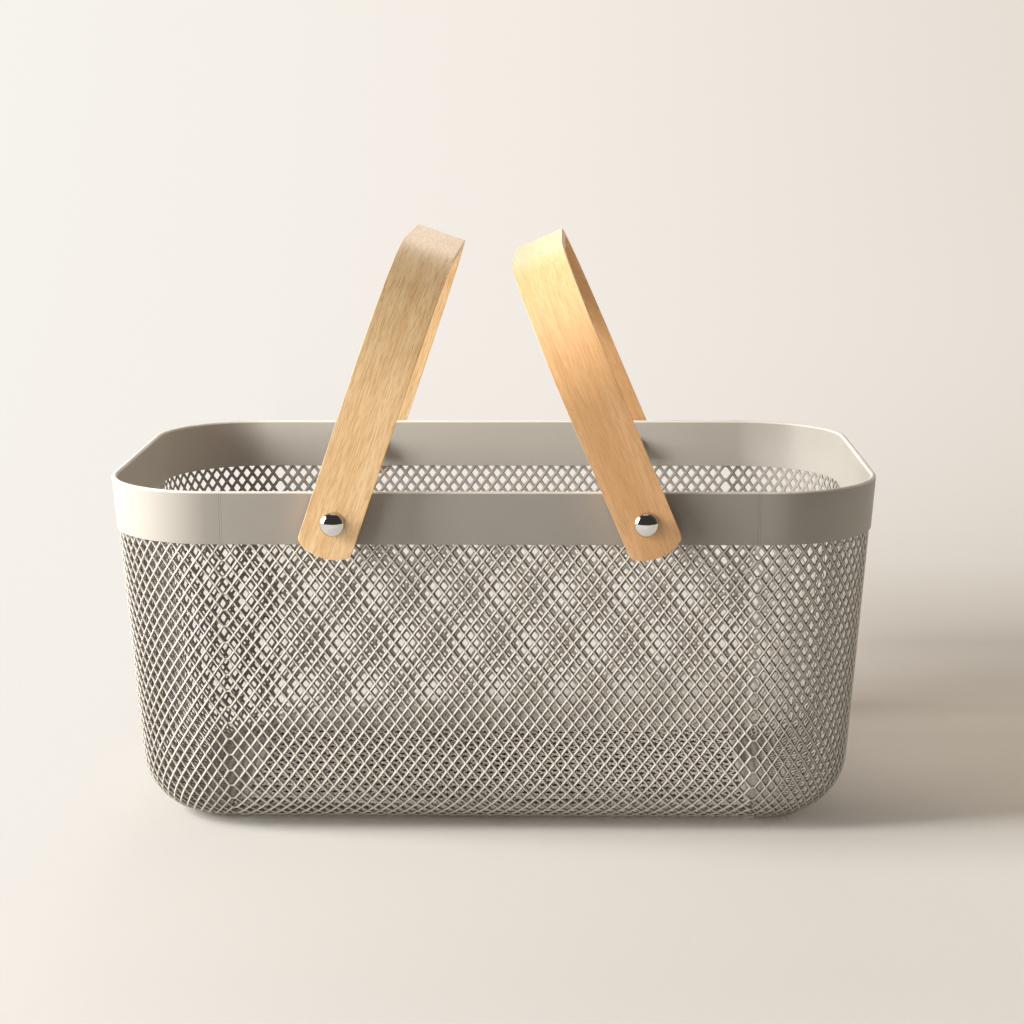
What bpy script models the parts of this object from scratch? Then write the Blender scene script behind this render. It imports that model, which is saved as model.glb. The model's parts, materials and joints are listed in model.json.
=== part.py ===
"""Mesh storage basket with two bent plywood handles.

A drafted tub of expanded sheet hangs in a folded sheet band. Each handle is a plywood strap bent
to a U that straddles the basket and turns on two dome-headed screws through the band. A coarse
grid of diamond openings stands for the sheet's fine one.
Units are metres. +Z is up, X runs along the basket, Y runs across it, and the origin is the
middle of the floor's underside.
"""
import math

import bmesh
import bpy
from mathutils import Matrix

# Tub
BASKET_HEIGHT = 0.180
RIM_LENGTH = 0.394
RIM_WIDTH = 0.235
RIM_CORNER_RADIUS = 0.058
LEAST_CORNER_RADIUS = 0.004
FLOOR_EDGE_RADIUS = 0.034
WALL_LEAN = math.radians(4.07)
MESH_GAUGE = 0.0012
SEAM_TO_CORNER = 0.006

# Openings in the mesh, several times as coarse as the real ones
OPENING_PITCH = 0.0332
OPENING_RISE = 0.0444
OPENING_STRAND = 0.0045
OPENING_REACH = 0.0063

# Band round the mouth
BAND_HEIGHT = 0.027
BAND_GAUGE = 0.0005
PIVOT_RAISE = 0.012
MESH_TO_BORE = 0.0012

# Bent plywood handles
STRAP_WIDTH = 0.0276
STRAP_THICKNESS = 0.0048
HANDLE_RISE = 0.1383
BEND_RADIUS = 0.0715
FOOT_DROP = 0.0177
FOOT_BOW = 0.0049
FOOT_CORNER_RADIUS = 0.004
PIVOT_SPACING = 0.154
LEFT_TOP_SETBACK = 0.0187
RIGHT_TOP_SETBACK = 0.0101

# Pivot hardware
SHANK_RADIUS = 0.0025
SHANK_REACH = 0.0035
HEAD_RADIUS = 0.0061
HEAD_HEIGHT = 0.0040
HEAD_SKIRT = 0.0008
SPACER_RADIUS = 0.0062
SPACER_THICKNESS = 0.0024
WASHER_RADIUS = 0.0065
WASHER_THICKNESS = 0.0010
NUT_RADIUS = 0.0050
NUT_HEIGHT = 0.0070
NUT_SKIRT = 0.0020
NUT_BORE_DEPTH = 0.0045

# Clearance between pieces that touch, the overrun of every cutter, and the welding distance
TOUCH_GAP = 0.0003
CUT_OVERRUN = 0.010
WELD_DISTANCE = 0.00001

# Facets
CORNER_STEPS = 10
FLOOR_EDGE_STEPS = 7
BAND_TOP_STEPS = 6
BEND_STEPS = 12
FOOT_STEPS = 8
FILLET_STEPS = 3
TURN_STEPS = 24
DOME_STEPS = 5
SMOOTH_ANGLE = math.radians(35)

# Sizes that follow from the ones above
LEAN_SLOPE = math.tan(WALL_LEAN)
BAND_THICKNESS = 2 * (BAND_GAUGE + TOUCH_GAP) + MESH_GAUGE
MESH_INSET = BAND_GAUGE + TOUCH_GAP
SEAM_X = RIM_LENGTH / 2 - RIM_CORNER_RADIUS - SEAM_TO_CORNER
PIVOT_DROP = BAND_HEIGHT - PIVOT_RAISE
PIVOT_X = PIVOT_SPACING / 2
PIVOT_Z = BASKET_HEIGHT - PIVOT_DROP
BORE_RADIUS = SHANK_RADIUS + TOUCH_GAP
MESH_TOP_Z = PIVOT_Z - BORE_RADIUS - MESH_TO_BORE
BAND_FACE_Y = RIM_WIDTH / 2 - PIVOT_DROP * LEAN_SLOPE
SPACER_Y = BAND_FACE_Y + SPACER_RADIUS * LEAN_SLOPE + TOUCH_GAP
STRAP_INNER_Y = SPACER_Y + SPACER_THICKNESS + TOUCH_GAP
STRAP_MIDDLE_Y = STRAP_INNER_Y + STRAP_THICKNESS / 2
STRAP_OUTER_Y = STRAP_INNER_Y + STRAP_THICKNESS
HEAD_Y = STRAP_OUTER_Y + TOUCH_GAP
WASHER_Y = BAND_FACE_Y - BAND_THICKNESS - WASHER_RADIUS * LEAN_SLOPE - TOUCH_GAP
NUT_Y = WASHER_Y - WASHER_THICKNESS - TOUCH_GAP
FLOOR_EDGE_OFFSET = ((BASKET_HEIGHT - FLOOR_EDGE_RADIUS) * LEAN_SLOPE + MESH_INSET
                     + FLOOR_EDGE_RADIUS / math.cos(WALL_LEAN))
WALL_RUN = ((BASKET_HEIGHT - BAND_HEIGHT - FLOOR_EDGE_RADIUS * (1 - math.sin(WALL_LEAN)))
            / math.cos(WALL_LEAN))
EDGE_RUN = FLOOR_EDGE_RADIUS * (math.pi / 2 - WALL_LEAN)
MIDDLE_RUN = WALL_RUN + EDGE_RUN + RIM_WIDTH / 2 - FLOOR_EDGE_OFFSET


def clear_scene():
    for item in list(bpy.data.objects):
        bpy.data.objects.remove(item, do_unlink=True)


def make_collection(name):
    group = bpy.data.collections.new(name)
    bpy.context.scene.collection.children.link(group)
    return group


def make_material(name, color, roughness, metallic):
    material = bpy.data.materials.new(name)
    material.use_nodes = True
    shader = material.node_tree.nodes["Principled BSDF"]
    shader.inputs["Base Color"].default_value = (*color, 1.0)
    shader.inputs["Roughness"].default_value = roughness
    shader.inputs["Metallic"].default_value = metallic
    material.diffuse_color = (*color, 1.0)
    return material


def finished_mesh(bm, name, material=None):
    """Turns a bmesh into a mesh with its round faces shaded smooth."""
    mesh = bpy.data.meshes.new(name)
    bm.to_mesh(mesh)
    bm.free()
    mesh.shade_smooth()
    mesh.set_sharp_from_angle(angle=SMOOTH_ANGLE)
    if material:
        mesh.materials.append(material)
    return mesh


def add_object(name, mesh, group):
    item = bpy.data.objects.new(name, mesh)
    group.objects.link(item)
    return item


def add_cutter(name, mesh, group):
    cutter = add_object(name, mesh, group)
    cutter.display_type = "WIRE"
    cutter.hide_render = True
    return cutter


def add_solidify(item, thickness):
    """Thickens a surface on the side that its faces look away from."""
    shell = item.modifiers.new("gauge", "SOLIDIFY")
    shell.thickness = thickness
    shell.offset = -1.0
    shell.use_even_offset = True


def add_boolean(item, cutter, operation):
    cut = item.modifiers.new(cutter.name, "BOOLEAN")
    cut.operation = operation
    cut.solver = "EXACT"
    cut.object = cutter


def arc(center, radius, start, end, steps):
    """Points on an arc in a plane, from one angle to another."""
    points = []
    for step in range(steps + 1):
        angle = start + (end - start) * step / steps
        points.append((center[0] + radius * math.cos(angle), center[1] + radius * math.sin(angle)))
    return points


def loft(rings, closed=False):
    """A surface through rings of points; its faces look to the right of the way each ring runs."""
    bm = bmesh.new()
    rows = [[bm.verts.new(point) for point in ring] for ring in rings]
    count = len(rows[0])
    spans = count if closed else count - 1
    for near, far in zip(rows, rows[1:]):
        for index in range(spans):
            after = (index + 1) % count
            bm.faces.new((near[index], near[after], far[after], far[index]))
    bmesh.ops.remove_doubles(bm, verts=bm.verts, dist=WELD_DISTANCE)
    return bm


def prism(outline, travel):
    """A flat outline of points in space, drawn out along a vector to a solid."""
    bm = bmesh.new()
    start = bm.faces.new([bm.verts.new(point) for point in outline])
    drawn = bmesh.ops.extrude_face_region(bm, geom=[start])
    moved = [part for part in drawn["geom"] if isinstance(part, bmesh.types.BMVert)]
    bmesh.ops.translate(bm, verts=moved, vec=travel)
    bmesh.ops.recalc_face_normals(bm, faces=bm.faces)
    return bm


def outline_sizes(offset):
    """Half length, half width and corner radius of the rim's outline drawn in by an offset."""
    half_length = RIM_LENGTH / 2 - offset
    half_width = RIM_WIDTH / 2 - offset
    radius = max(RIM_CORNER_RADIUS - offset, LEAST_CORNER_RADIUS)
    return half_length, half_width, radius


def whole_outline(offset):
    """The whole rounded rectangle, anticlockwise from the middle of the front right corner."""
    half_length, half_width, radius = outline_sizes(offset)
    center_x = half_length - radius
    center_y = half_width - radius
    points = []
    for quarter, (side_x, side_y) in enumerate(((1, -1), (1, 1), (-1, 1), (-1, -1))):
        start = (quarter - 1) * math.pi / 2
        center = (side_x * center_x, side_y * center_y)
        points += arc(center, radius, start, start + math.pi / 2, CORNER_STEPS)
    return points


def end_outline(offset):
    """The stretch of the outline past the right seam, from front to back."""
    half_length, half_width, radius = outline_sizes(offset)
    center_x = half_length - radius
    center_y = half_width - radius
    seam = SEAM_X + TOUCH_GAP / 2
    points = [(seam, -half_width)]
    points += arc((center_x, -center_y), radius, -math.pi / 2, 0, CORNER_STEPS)
    points += arc((center_x, center_y), radius, 0, math.pi / 2, CORNER_STEPS)
    points.append((seam, half_width))
    return points


def wall_profile():
    """Offset from the rim's outline and height of the mesh's outer face, from the floor up."""
    center = (FLOOR_EDGE_OFFSET, FLOOR_EDGE_RADIUS)
    floor_turn = -math.pi / 2
    wall_turn = -math.pi + WALL_LEAN
    profile = arc(center, FLOOR_EDGE_RADIUS, floor_turn, wall_turn, FLOOR_EDGE_STEPS)
    profile.append(((BASKET_HEIGHT - MESH_TOP_Z) * LEAN_SLOPE + MESH_INSET, MESH_TOP_Z))
    return profile


def band_profile():
    """Offset and height of the band's face: up the outside, over the fold, down the inside."""
    bottom = BASKET_HEIGHT - BAND_HEIGHT
    fold_radius = BAND_THICKNESS / 2
    fold_center = (fold_radius * LEAN_SLOPE + fold_radius, BASKET_HEIGHT - fold_radius)
    profile = [(BAND_HEIGHT * LEAN_SLOPE, bottom)]
    profile += arc(fold_center, fold_radius, math.pi, 0, BAND_TOP_STEPS)
    profile.append((BAND_HEIGHT * LEAN_SLOPE + BAND_THICKNESS, bottom))
    return profile


def make_band(group, material, bores):
    """Sheet folded over at the mouth, so that its two skins hold the mesh between them."""
    rings = []
    for offset, height in band_profile():
        rings.append([(x, y, height) for x, y in whole_outline(offset)])
    mesh = finished_mesh(loft(rings, closed=True), "rim_band", material)
    band = add_object("rim_band", mesh, group)
    add_solidify(band, BAND_GAUGE)
    for bore in bores:
        add_boolean(band, bore, "DIFFERENCE")


def face_spot(run):
    """Offset, height and tilt of the mesh's outer face, a run down from the band's lower edge."""
    tilt = WALL_LEAN + (run - WALL_RUN) / FLOOR_EDGE_RADIUS
    tilt = min(max(tilt, WALL_LEAN), math.pi / 2)
    above = max(WALL_RUN - run, 0)
    beyond = max(run - WALL_RUN - EDGE_RUN, 0)
    offset = FLOOR_EDGE_OFFSET - FLOOR_EDGE_RADIUS * math.cos(tilt) - above * math.sin(WALL_LEAN) + beyond
    height = FLOOR_EDGE_RADIUS * (1 - math.sin(tilt)) + above * math.cos(WALL_LEAN)
    return offset, height, tilt


def outline_spot(offset, share):
    """Place and heading on an end's outline, a share of the way from its middle round to its seam."""
    half_length, half_width, radius = outline_sizes(offset)
    center_x = half_length - radius
    center_y = half_width - radius
    corner_run = radius * math.pi / 2
    side = math.copysign(1, share)
    run = abs(share) * (center_y + corner_run + center_x - SEAM_X)
    if run < center_y:
        return half_length, side * run, 0
    if run < center_y + corner_run:
        heading = (run - center_y) / radius
        x = center_x + radius * math.cos(heading)
        return x, side * (center_y + radius * math.sin(heading)), side * heading
    return center_x - (run - center_y - corner_run), side * half_width, side * math.pi / 2


def add_diamond(bm, half_across, half_along, place, turn):
    """One prism through the sheet, drawn in from its grid's lines by half a strand all round."""
    side = math.hypot(half_across, half_along)
    kept = 1 - OPENING_STRAND / 2 * side / (half_across * half_along)
    stretch = Matrix.Diagonal((half_across * kept, half_along * kept, 1, 1))
    bmesh.ops.create_cone(bm, cap_ends=True, segments=4, radius1=1, radius2=1,
                          depth=2 * OPENING_REACH, matrix=Matrix.Translation(place) @ turn @ stretch)


def center_openings(cutters):
    """Staggered diamonds down the front wall, across the floor and up the back wall."""
    half = SEAM_X - TOUCH_GAP / 2
    columns = max(round(2 * half / OPENING_PITCH), 2)
    rows = max(round(2 * MIDDLE_RUN / OPENING_RISE), 2)
    across = half / columns
    along = MIDDLE_RUN / rows
    bm = bmesh.new()
    for row in range(1 - rows, rows):
        offset, height, tilt = face_spot(MIDDLE_RUN - abs(row) * along)
        side = -1 if row < 0 else 1
        turn = Matrix.Rotation(-side * (math.pi / 2 + tilt), 4, "X")
        for column in range(1 - columns, columns):
            if (row + column) % 2:
                place = (column * across, side * (RIM_WIDTH / 2 - offset), height)
                add_diamond(bm, across, along, place, turn)
    return add_cutter("center_openings", finished_mesh(bm, "center_openings"), cutters)


def end_openings_mesh():
    """Staggered diamonds round an end and down it to the middle of the floor's edge."""
    top_offset = face_spot(0)[0]
    half_length, half_width, radius = outline_sizes(top_offset)
    top_run = half_width - radius + radius * math.pi / 2 + half_length - radius - SEAM_X
    columns = max(round(2 * top_run / OPENING_PITCH), 2)
    along = MIDDLE_RUN / max(round(2 * MIDDLE_RUN / OPENING_RISE), 2)
    bm = bmesh.new()
    for row in range(1, int((WALL_RUN + EDGE_RUN / 2) / along) + 1):
        offset, height, tilt = face_spot(row * along)
        half_length, half_width, radius = outline_sizes(offset)
        run = half_width - radius + radius * math.pi / 2 + half_length - radius - SEAM_X
        for column in range(1 - columns, columns):
            if (row + column) % 2:
                x, y, heading = outline_spot(offset, column / columns)
                turn = Matrix.Rotation(heading, 4, "Z") @ Matrix.Rotation(math.pi / 2 + tilt, 4, "Y")
                quarter = Matrix.Rotation(math.pi / 2, 4, "Z")
                add_diamond(bm, run / columns, along, (x, y, height), turn @ quarter)
    return finished_mesh(bm, "end_openings")


def make_center_mesh(group, cutters, material):
    """One strip bent to a U: front wall, floor and back wall."""
    back = [(RIM_WIDTH / 2 - offset, height) for offset, height in wall_profile()]
    front = [(-y, height) for y, height in reversed(back)]
    half = SEAM_X - TOUCH_GAP / 2
    rings = [[(x, y, height) for y, height in front + back] for x in (-half, half)]
    mesh = finished_mesh(loft(rings), "center_mesh", material)
    panel = add_object("center_mesh", mesh, group)
    add_solidify(panel, MESH_GAUGE)
    add_boolean(panel, center_openings(cutters), "DIFFERENCE")


def make_end_meshes(group, cutters, material):
    """Two bowls, each wrapping two corners and running on into the floor as far as its seam."""
    rings = [[(x, y, height) for x, y in end_outline(offset)] for offset, height in wall_profile()]
    seam = SEAM_X + TOUCH_GAP / 2
    rings.insert(0, [(seam, y, height) for x, y, height in rings[0]])
    mesh = finished_mesh(loft(rings), "end_mesh", material)
    openings = end_openings_mesh()
    for end, turn in (("left", math.pi), ("right", 0)):
        panel = add_object(end + "_end_mesh", mesh, group)
        panel.rotation_euler = (0, 0, turn)
        add_solidify(panel, MESH_GAUGE)
        cutter = add_cutter(end + "_openings", openings, cutters)
        cutter.rotation_euler = (0, 0, turn)
        add_boolean(panel, cutter, "DIFFERENCE")


def handle_lean(setback):
    """Lean from upright that stops a handle's top corner a setback short of the middle."""
    corner_reach = math.hypot(HANDLE_RISE, STRAP_WIDTH / 2)
    return math.asin((PIVOT_X - setback) / corner_reach) - math.atan2(STRAP_WIDTH / 2, HANDLE_RISE)


def strap_line(distance):
    """The strap's U across the basket, at a distance outside its middle line, from front to back."""
    middle_radius = min(BEND_RADIUS, STRAP_MIDDLE_Y)
    center_y = STRAP_MIDDLE_Y - middle_radius
    center_z = HANDLE_RISE - STRAP_THICKNESS / 2 - middle_radius
    radius = middle_radius + distance
    front = [(-center_y - radius, -FOOT_DROP - CUT_OVERRUN)]
    front += arc((-center_y, center_z), radius, math.pi, math.pi / 2, BEND_STEPS)
    return front + [(-y, z) for y, z in reversed(front)]


def strap_solid():
    """The bent strap before its sides and feet are cut, with its pivot line through the origin."""
    outside = strap_line(STRAP_THICKNESS / 2)
    inside = strap_line(-STRAP_THICKNESS / 2)
    reach = STRAP_WIDTH / 2 + CUT_OVERRUN
    outline = [(-reach, y, z) for y, z in outside + list(reversed(inside))]
    return prism(outline, (2 * reach, 0, 0))


def strap_front():
    """A strap's front view: straight sides and a bowed foot with rounded corners."""
    half = STRAP_WIDTH / 2
    bow_radius = (half ** 2 + FOOT_BOW ** 2) / (2 * FOOT_BOW)
    bow_z = bow_radius - FOOT_DROP
    corner_x = half - FOOT_CORNER_RADIUS
    corner_z = bow_z - math.sqrt((bow_radius - FOOT_CORNER_RADIUS) ** 2 - corner_x ** 2)
    turn = math.atan2(corner_z - bow_z, corner_x)
    top = HANDLE_RISE + CUT_OVERRUN
    left_corner = arc((-corner_x, corner_z), FOOT_CORNER_RADIUS, math.pi, math.pi - turn, FILLET_STEPS)
    bow = arc((0, bow_z), bow_radius, math.pi - turn, 2 * math.pi + turn, FOOT_STEPS)
    right_corner = arc((corner_x, corner_z), FOOT_CORNER_RADIUS, turn, 0, FILLET_STEPS)
    return [(half, top), (-half, top)] + left_corner + bow[1:-1] + right_corner


def make_handle(name, side, setback, group, cutters, bore, material):
    mesh = finished_mesh(strap_solid(), name, material)
    handle = add_object(name, mesh, group)
    handle.location = (side * PIVOT_X, 0, PIVOT_Z)
    handle.rotation_euler = (0, -side * handle_lean(setback), 0)
    reach = STRAP_OUTER_Y + CUT_OVERRUN
    outline = [(x, -reach, z) for x, z in strap_front()]
    front = finished_mesh(prism(outline, (0, 2 * reach, 0)), name + "_outline")
    cutter = add_cutter(name + "_outline", front, cutters)
    cutter.parent = handle
    add_boolean(handle, cutter, "INTERSECT")
    add_boolean(handle, bore, "DIFFERENCE")


def make_bore(name, side, cutters):
    """A straight drill along a pivot line, through band and strap at front and back alike."""
    bm = bmesh.new()
    depth = 2 * (STRAP_OUTER_Y + CUT_OVERRUN)
    across = Matrix.Rotation(math.pi / 2, 4, "X")
    bmesh.ops.create_cone(bm, cap_ends=True, segments=TURN_STEPS, radius1=BORE_RADIUS,
                          radius2=BORE_RADIUS, depth=depth, matrix=across)
    bore = add_cutter(name, finished_mesh(bm, name), cutters)
    bore.location = (side * PIVOT_X, 0, PIVOT_Z)
    return bore


def dome(radius, skirt, height):
    """Radius and height down a spherical cap, from its pole to the top of its straight skirt."""
    rise = height - skirt
    ball = (radius ** 2 + rise ** 2) / (2 * rise)
    half_angle = math.atan2(radius, ball - rise)
    points = []
    for step in range(DOME_STEPS + 1):
        angle = half_angle * step / DOME_STEPS
        points.append((ball * math.sin(angle), height - ball + ball * math.cos(angle)))
    return points


def turned_mesh(name, profile, material, ring=False):
    """A profile of radius and height that runs down its outer side, to be turned about Z."""
    bm = bmesh.new()
    verts = [bm.verts.new((radius, 0, height)) for radius, height in profile]
    for upper, lower in zip(verts, verts[1:]):
        bm.edges.new((upper, lower))
    if ring:
        bm.edges.new((verts[-1], verts[0]))
    return finished_mesh(bm, name, material)


def screw_mesh(material):
    """Dome head seated on the strap, and a shank that reaches into the nut."""
    shank_end = NUT_Y - HEAD_Y - SHANK_REACH
    profile = dome(HEAD_RADIUS, HEAD_SKIRT, HEAD_HEIGHT)
    profile += [(HEAD_RADIUS, 0), (SHANK_RADIUS, 0), (SHANK_RADIUS, shank_end), (0, shank_end)]
    return turned_mesh("screw", profile, material)


def nut_mesh(material):
    """Domed cap nut with a blind bore."""
    profile = dome(NUT_RADIUS, NUT_SKIRT, NUT_HEIGHT)
    profile += [(NUT_RADIUS, 0), (BORE_RADIUS, 0), (BORE_RADIUS, NUT_BORE_DEPTH)]
    profile.append((0, NUT_BORE_DEPTH))
    return turned_mesh("nut", profile, material)


def ring_mesh(name, radius, thickness, material):
    """Flat ring that the shank passes through."""
    profile = [(radius, thickness), (radius, 0), (BORE_RADIUS, 0), (BORE_RADIUS, thickness)]
    return turned_mesh(name, profile, material, ring=True)


def add_turned(name, mesh, group, side, face, distance, outward):
    """Stands a turned piece on a pivot line, with its foot at a distance from the middle."""
    item = add_object(name, mesh, group)
    item.location = (side * PIVOT_X, face * distance, PIVOT_Z)
    item.rotation_euler = (-face * outward * math.pi / 2, 0, 0)
    turn = item.modifiers.new("turn", "SCREW")
    turn.axis = "Z"
    turn.steps = TURN_STEPS
    turn.render_steps = TURN_STEPS
    turn.use_merge_vertices = True
    turn.merge_threshold = WELD_DISTANCE


def make_pivots(group, chrome, zinc, nylon):
    """Screw, spacer, washer and cap nut at the four ends of the two pivot lines."""
    screw = screw_mesh(chrome)
    nut = nut_mesh(chrome)
    spacer = ring_mesh("spacer", SPACER_RADIUS, SPACER_THICKNESS, nylon)
    washer = ring_mesh("washer", WASHER_RADIUS, WASHER_THICKNESS, zinc)
    for end, side in (("left", -1), ("right", 1)):
        for wall, face in (("front", -1), ("back", 1)):
            place = end + "_" + wall
            add_turned(place + "_screw", screw, group, side, face, HEAD_Y, 1)
            add_turned(place + "_spacer", spacer, group, side, face, SPACER_Y, 1)
            add_turned(place + "_washer", washer, group, side, face, WASHER_Y, -1)
            add_turned(place + "_nut", nut, group, side, face, NUT_Y, -1)


def main():
    clear_scene()
    parts = make_collection("mesh_storage_basket")
    cutters = make_collection("cutters")
    band_paint = make_material("band_paint", (0.50, 0.46, 0.40), 0.45, 0.0)
    mesh_paint = make_material("mesh_paint", (0.52, 0.48, 0.42), 0.50, 0.0)
    plywood = make_material("plywood", (0.66, 0.42, 0.20), 0.45, 0.0)
    chrome = make_material("chrome", (0.80, 0.80, 0.80), 0.08, 1.0)
    zinc = make_material("zinc", (0.45, 0.45, 0.45), 0.35, 1.0)
    nylon = make_material("nylon", (0.05, 0.05, 0.05), 0.55, 0.0)
    left_bore = make_bore("left_bore", -1, cutters)
    right_bore = make_bore("right_bore", 1, cutters)
    make_band(parts, band_paint, (left_bore, right_bore))
    make_center_mesh(parts, cutters, mesh_paint)
    make_end_meshes(parts, cutters, mesh_paint)
    make_handle("left_handle", -1, LEFT_TOP_SETBACK, parts, cutters, left_bore, plywood)
    make_handle("right_handle", 1, RIGHT_TOP_SETBACK, parts, cutters, right_bore, plywood)
    make_pivots(parts, chrome, zinc, nylon)


main()
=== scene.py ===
import json
import math

import bmesh
import bpy
import numpy as np
from mathutils import Matrix, Vector


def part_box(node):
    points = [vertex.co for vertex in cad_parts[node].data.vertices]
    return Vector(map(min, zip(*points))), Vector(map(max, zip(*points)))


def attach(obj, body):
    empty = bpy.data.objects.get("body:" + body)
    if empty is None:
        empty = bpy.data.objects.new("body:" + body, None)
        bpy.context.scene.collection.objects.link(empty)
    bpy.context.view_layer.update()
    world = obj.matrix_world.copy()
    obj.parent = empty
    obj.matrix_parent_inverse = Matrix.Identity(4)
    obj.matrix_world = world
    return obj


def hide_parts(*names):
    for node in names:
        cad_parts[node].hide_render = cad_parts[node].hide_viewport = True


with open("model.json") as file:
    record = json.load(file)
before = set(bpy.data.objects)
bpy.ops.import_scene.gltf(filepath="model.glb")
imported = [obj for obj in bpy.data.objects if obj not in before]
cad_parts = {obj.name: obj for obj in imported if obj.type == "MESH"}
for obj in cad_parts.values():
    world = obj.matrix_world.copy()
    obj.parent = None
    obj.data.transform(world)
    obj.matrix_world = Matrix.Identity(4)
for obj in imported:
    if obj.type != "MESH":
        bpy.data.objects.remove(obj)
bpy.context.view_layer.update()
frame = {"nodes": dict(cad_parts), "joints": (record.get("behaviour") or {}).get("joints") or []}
mm = 0.001
print("frame loaded:", len(frame["nodes"]), "nodes")

# Camera. The photograph's frame is 1024 pixels square, and the lens was fitted to the basket's edges.
camera = {
    "place": (0.0365, -1.1809, 0.3780),
    "turn": math.radians(1.364),       # to the left of straight ahead
    "tilt": math.radians(11.064),      # down from level
    "roll": math.radians(-0.183),
    "lens": 77.43,
    "sensor": 36.0,
    "nearest": 0.05,
    "farthest": 60,
}


def makeCamera(shot):
    data = bpy.data.cameras.new("shopCamera")
    data.lens = shot["lens"]
    data.sensor_width = shot["sensor"]
    data.clip_start = shot["nearest"]
    data.clip_end = shot["farthest"]
    body = bpy.data.objects.new("shopCamera", data)
    aim = Matrix.Rotation(shot["turn"], 4, "Z") @ Matrix.Rotation(math.pi / 2 - shot["tilt"], 4, "X")
    body.matrix_world = Matrix.Translation(shot["place"]) @ aim @ Matrix.Rotation(shot["roll"], 4, "Z")
    bpy.context.scene.collection.objects.link(body)
    bpy.context.scene.camera = body


makeCamera(camera)
print("camera set")

# The tub's shape, shared by the band and the three mesh panels.
tub = {
    "height": 180 * mm,
    "halfLength": 197 * mm,
    "halfWidth": 117.5 * mm,
    "cornerRadius": 58 * mm,
    "leastCorner": 4 * mm,
    "floorRadius": 34 * mm,
    "lean": math.radians(4.07),
    "seam": 133 * mm,                  # where the centre sheet meets each end sheet, along X
    "bandHeight": 27 * mm,
    "meshInset": 0.8 * mm,             # the mesh stands this far inside the band's face
}
tub["bandEdge"] = tub["height"] - tub["bandHeight"]
tub["slope"] = math.tan(tub["lean"])


class Wire:
    # A shader socket that does sums with Python's own signs, and makes any other node.
    def __init__(self, tree, socket=None):
        self.tree = tree
        self.socket = socket

    def node(self, kind, settings=None, inputs=None, output=0):
        made = self.tree.nodes.new("ShaderNode" + kind)
        for name, value in (settings or {}).items():
            if name == "stops":
                self.setStops(made.color_ramp, value)
            else:
                setattr(made, name, value)
        for name, value in (inputs or {}).items():
            if isinstance(value, Wire):
                self.tree.links.new(value.socket, made.inputs[name])
            else:
                made.inputs[name].default_value = value
        return Wire(self.tree, made.outputs[output]) if len(made.outputs) else made

    def setStops(self, ramp, stops):
        while len(ramp.elements) < len(stops):
            ramp.elements.new(0.5)
        for element, (place, colour) in zip(ramp.elements, stops):
            element.position = place
            element.color = (*colour, 1)

    def output(self, name):
        return Wire(self.tree, self.socket.node.outputs[name])

    def sum(self, operation, first, second=None):
        given = {k: v for k, v in enumerate((first, second)) if v is not None}
        return self.node("Math", {"operation": operation}, given)

    def __add__(self, other):
        return self.sum("ADD", self, other)

    def __radd__(self, other):
        return self.sum("ADD", other, self)

    def __sub__(self, other):
        return self.sum("SUBTRACT", self, other)

    def __rsub__(self, other):
        return self.sum("SUBTRACT", other, self)

    def __mul__(self, other):
        return self.sum("MULTIPLY", self, other)

    def __rmul__(self, other):
        return self.sum("MULTIPLY", other, self)

    def __truediv__(self, other):
        return self.sum("DIVIDE", self, other)

    def __abs__(self):
        return self.sum("ABSOLUTE", self)

    def most(self, other):
        return self.sum("MAXIMUM", self, other)

    def within(self, low, high):
        # 0 below low, 1 above high, smooth between them.
        ends = {"From Min": low, "From Max": high, "Value": self}
        return self.node("MapRange", {"interpolation_type": "SMOOTHSTEP", "clamp": True}, ends)


def newFinish(name):
    material = bpy.data.materials.new(name)
    material.use_nodes = True
    material.node_tree.nodes.clear()
    return material, Wire(material.node_tree)


def closeFinish(shader, surface):
    shader.node("OutputMaterial", None, {"Surface": surface})


def mixColour(shader, share, first, second):
    settings = {"data_type": "RGBA", "clamp_factor": True}
    return shader.node("Mix", settings, {0: share, 6: asColour(first), 7: asColour(second)}, 2)


def asColour(value):
    return value if isinstance(value, Wire) else (*value, 1)


def objectPlace(shader):
    return shader.node("TexCoord", None, None, "Object")


def stretched(shader, vector, scale):
    return shader.node("VectorMath", {"operation": "MULTIPLY"}, {0: vector, 1: scale})


def scaled(shader, colour, share):
    return shader.node("VectorMath", {"operation": "SCALE"}, {0: colour, "Scale": share})


def cloud(shader, place, scale, detail, roughness=0.5):
    inputs = {"Vector": place, "Scale": scale, "Detail": detail, "Roughness": roughness}
    return shader.node("TexNoise", None, inputs, "Fac")


def relief(shader, height):
    return shader.node("Bump", None, {"Strength": 1.0, "Distance": 1.0, "Height": height})


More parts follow.
